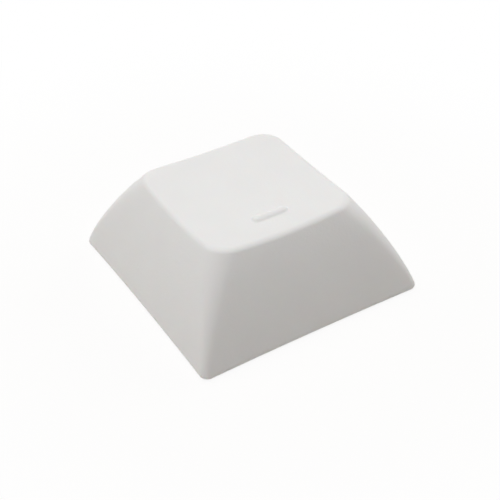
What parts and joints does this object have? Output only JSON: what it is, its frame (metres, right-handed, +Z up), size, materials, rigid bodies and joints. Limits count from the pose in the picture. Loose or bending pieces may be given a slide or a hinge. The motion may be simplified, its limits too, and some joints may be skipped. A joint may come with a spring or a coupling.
{
  "type": "keycap",
  "caption": "Square keycap with tapering bowed walls, a dished top with a raised homing bar, and a hollow underside with a round stem and cross-shaped socket.",
  "frame": {"origin": "middle of the base, in the plane of the rim that the cap rests on", "axes": "+Z up through the dished top, +X to the typist's right, +Y away from the typist; the homing bar lies towards -Y"},
  "size_m": [0.018, 0.018, 0.0068],
  "materials": {
    "cap_plastic": "matt off-white moulded plastic with a fine even texture"
  },
  "bodies": {
    "root": {"keycap": "cap_plastic"}
  },
  "joints": []
}
